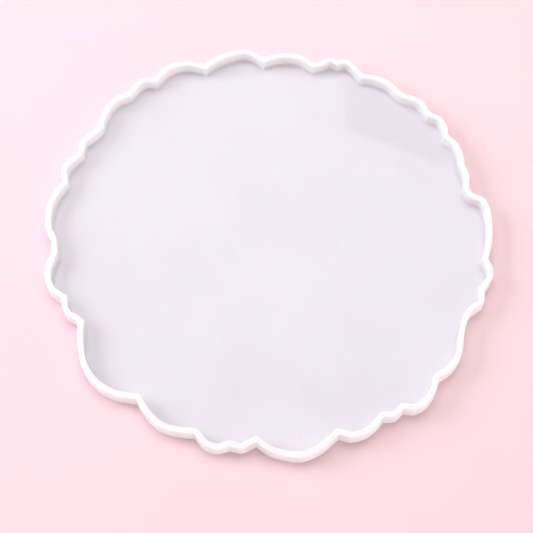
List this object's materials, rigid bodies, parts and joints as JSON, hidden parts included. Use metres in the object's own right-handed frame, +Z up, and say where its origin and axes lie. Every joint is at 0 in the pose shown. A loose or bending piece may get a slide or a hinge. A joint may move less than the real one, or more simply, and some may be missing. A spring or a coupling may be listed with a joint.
{
  "type": "resin casting mould",
  "caption": "Shallow flexible silicone tray mould with a level casting floor and an upright wall of even thickness along an irregular scalloped outline.",
  "frame": {"origin": "on the flat underside, at the centre of the bounding box", "axes": "+Z up out of the pan, +X to the right and +Y to the back with the pan lying in front of the user"},
  "size_m": [0.3002, 0.3112, 0.011],
  "materials": {
    "white_silicone": "satin walls, polished casting floor"
  },
  "bodies": {
    "root": {"base_sheet": "white_silicone", "rim_wall": "white_silicone"}
  },
  "joints": []
}
